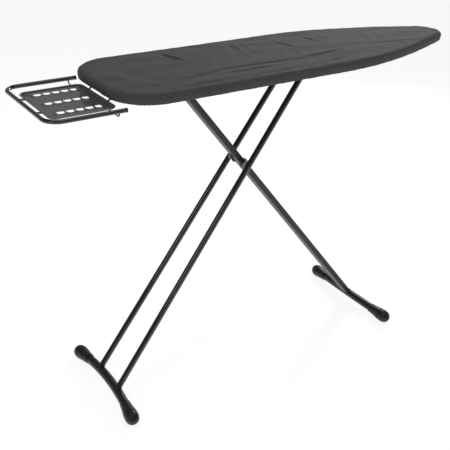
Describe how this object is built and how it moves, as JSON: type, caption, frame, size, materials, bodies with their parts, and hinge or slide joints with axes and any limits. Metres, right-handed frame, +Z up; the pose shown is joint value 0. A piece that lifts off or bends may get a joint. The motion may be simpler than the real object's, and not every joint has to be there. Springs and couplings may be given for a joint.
{
  "type": "folding ironing board",
  "caption": "Folding ironing board with a padded fabric top, crossed tubular legs on bowed foot bars, and a pull-out wire iron rest with a perforated tray at its wide end.",
  "frame": {"origin": "on the floor, below the middle of the object's bounding box", "axes": "+X along the board towards its narrow nose (the iron rest is at -X), +Y away from the near long side, +Z up; the front view looks along +Y"},
  "size_m": [1.241, 0.3734, 0.8475],
  "materials": {
    "cover_cloth": "matte woven cloth, charcoal",
    "pad_felt": "matte needled felt",
    "board_steel": "satin black powder coat",
    "zinc": "zinc plated",
    "gloss_black": "gloss black lacquer",
    "satin_brown_black": "satin brown-black paint",
    "foot_black": "satin black paint",
    "tray_grey": "gloss dark grey enamel",
    "black_plastic": "satin moulded black",
    "pale_nylon": "natural nylon"
  },
  "bodies": {
    "board": {"cover": "cover_cloth", "pad": "pad_felt", "deck": "board_steel", "rim": "board_steel", "brace_wide_end": "board_steel", "brace_middle": "board_steel", "brace_nose": "board_steel", "slide_rail_near": "board_steel", "slide_rail_far": "board_steel", "height_rack": "board_steel", "hinge_bracket_near": "board_steel", "hinge_bracket_far": "board_steel", "hinge_rivet_near_a": "zinc", "hinge_rivet_near_b": "zinc", "hinge_rivet_far_a": "zinc", "hinge_rivet_far_b": "zinc", "hinge_pin": "zinc", "lever_clip_near": "black_plastic", "lever_clip_far": "black_plastic", "lever_spring": "zinc", "rest_guide_outer_near": "board_steel", "rest_guide_outer_far": "board_steel", "rest_guide_inner_near": "board_steel", "rest_guide_inner_far": "board_steel"},
    "oval_leg": {"oval_leg_tube": "satin_brown_black", "oval_leg_hinge_tube": "satin_brown_black", "pivot_boss_near": "satin_brown_black", "pivot_boss_far": "satin_brown_black", "oval_leg_foot_bar": "foot_black", "oval_leg_foot_sleeve_near": "black_plastic", "oval_leg_foot_sleeve_far": "black_plastic", "oval_leg_foot_cap_near": "black_plastic", "oval_leg_foot_cap_far": "black_plastic"},
    "twin_leg": {"twin_tube_near": "gloss_black", "twin_tube_far": "gloss_black", "slide_bar": "gloss_black", "slide_glide_near": "pale_nylon", "slide_glide_far": "pale_nylon", "pivot_pin": "zinc", "pivot_washer_near": "pale_nylon", "pivot_washer_far": "pale_nylon", "twin_leg_foot_bar": "foot_black", "twin_leg_foot_sleeve_near": "black_plastic", "twin_leg_foot_sleeve_far": "black_plastic", "twin_leg_foot_cap_near": "black_plastic", "twin_leg_foot_cap_far": "black_plastic"},
    "height_lever": {"lever_rod": "gloss_black", "lever_grip": "black_plastic", "lever_pawl": "zinc"},
    "rest": {"rest_rail": "gloss_black", "rest_rail_plug_near": "black_plastic", "rest_rail_plug_far": "black_plastic", "rest_tray": "tray_grey", "rest_stub_near": "gloss_black", "rest_stub_far": "gloss_black", "rest_rod_near": "gloss_black", "rest_rod_far": "gloss_black", "rest_cross_wire": "gloss_black"}
  },
  "joints": [
    {"name": "fold", "type": "hinge", "parent": "board", "child": "oval_leg", "pos_m": [-0.2542, 0, 0.82182], "axis": [0, -1, 0], "range_deg": [0, 49.2]},
    {"name": "twin_fold", "type": "hinge", "parent": "oval_leg", "child": "twin_leg", "pos_m": [-0.06325, 0, 0.5708], "axis": [0, -1, 0], "range_deg": [-98.4, 0]},
    {"name": "rest_slide", "type": "slide", "parent": "board", "child": "rest", "axis": [1, 0, 0], "range_m": [0, 0.1]},
    {"name": "lever_squeeze", "type": "hinge", "parent": "board", "child": "height_lever", "pos_m": [0.0705, 0, 0.82882], "axis": [0, 1, 0], "range_deg": [0, 8], "stiffness_Nm_per_rad": 0.6, "springref_deg": -17.19}
  ],
  "couplings": [
    {"joint": "twin_fold", "follows": "fold", "ratio": -2}
  ]
}
